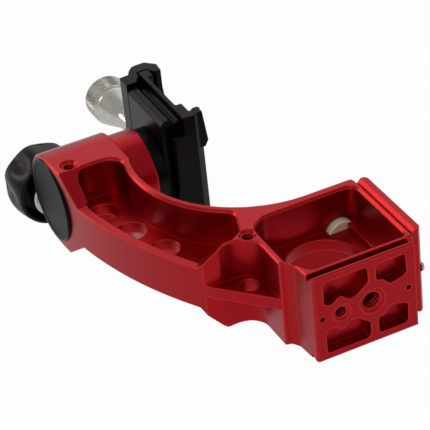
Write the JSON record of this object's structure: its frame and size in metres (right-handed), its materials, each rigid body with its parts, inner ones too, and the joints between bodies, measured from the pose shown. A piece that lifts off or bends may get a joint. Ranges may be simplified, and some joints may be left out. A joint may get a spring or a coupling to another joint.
{
  "type": "gimbal tripod head",
  "caption": "Side mount gimbal head: curved red arm with dovetail foot and rail, pivot barrel with quick release clamp, tilt lock knob and round level.",
  "frame": {"origin": "centre of the mouth of the 3/8 inch thread in the foot face, on the mid plane of the arm", "axes": "+Y from the foot up along the arm to the pivot, +X along the pivot axis from its cap to the clamp, +Z across the thickness of the arm, up as it lies on its side"},
  "size_m": [0.1077, 0.1899, 0.056],
  "materials": {
    "red_anodised": "fine blasted, red anodised",
    "grey_anodised": "matt dark grey anodised",
    "black_anodised": "black anodised",
    "black_plastic": "moulded, satin gloss",
    "knurled_steel": "turned stainless steel",
    "steel": "turned steel",
    "bearing_steel": "ground steel",
    "black_steel": "black oxide",
    "brass": "turned",
    "level_plastic": "translucent white",
    "level_liquid": "clear green",
    "level_bubble": "clear",
    "level_glass": "clear"
  },
  "bodies": {
    "arm": {"arm_body": "red_anodised", "pivot_cap": "grey_anodised", "bearing_outer_rings": "bearing_steel", "bearing_balls": "bearing_steel", "bearing_retainer": "black_steel", "lock_anchor": "brass", "stop_screws": "steel", "level_case": "level_plastic", "level_liquid": "level_liquid", "level_bubble": "level_bubble", "level_window": "level_glass"},
    "tilt": {"pivot_shaft": "red_anodised", "bearing_inner_rings": "bearing_steel", "bearing_spacer": "bearing_steel", "brake_drum": "steel", "drum_screw": "black_steel", "clamp_adapter": "black_anodised", "clamp_base": "black_anodised", "clamp_screws": "black_steel", "jaw_guide_pins": "steel"},
    "jaw": {"movable_jaw": "black_anodised"},
    "jaw_knob": {"jaw_knob": "knurled_steel", "jaw_spindle": "steel"},
    "lock_shoe": {"lock_shoe": "brass"},
    "lock_knob": {"tilt_lock_knob": "black_plastic", "knob_cover": "black_plastic", "lock_stud": "steel", "lock_collar": "steel"}
  },
  "joints": [
    {"name": "clamp_tilt", "type": "hinge", "parent": "arm", "child": "tilt", "pos_m": [-0.05, 0.129, 0], "axis": [1, 0, 0], "continuous": true},
    {"name": "jaw_travel", "type": "slide", "parent": "tilt", "child": "jaw", "axis": [0, 1, 0], "range_m": [-0.0004, 0.005]},
    {"name": "jaw_turn", "type": "hinge", "parent": "jaw", "child": "jaw_knob", "pos_m": [-0.023, 0.16, 0], "axis": [0, 1, 0], "range_deg": [-144, 1800]},
    {"name": "lock_travel", "type": "slide", "parent": "arm", "child": "lock_shoe", "axis": [0, 1, 0], "range_m": [-0.0004, 0]},
    {"name": "lock_turn", "type": "hinge", "parent": "lock_shoe", "child": "lock_knob", "pos_m": [-0.0658, 0.15, -0.0116], "axis": [0, 1, 0], "range_deg": [-144, 0]}
  ],
  "couplings": [
    {"joint": "jaw_turn", "follows": "jaw_travel", "rad_per_m": 6283.2},
    {"joint": "lock_turn", "follows": "lock_travel", "rad_per_m": 6283.2}
  ]
}
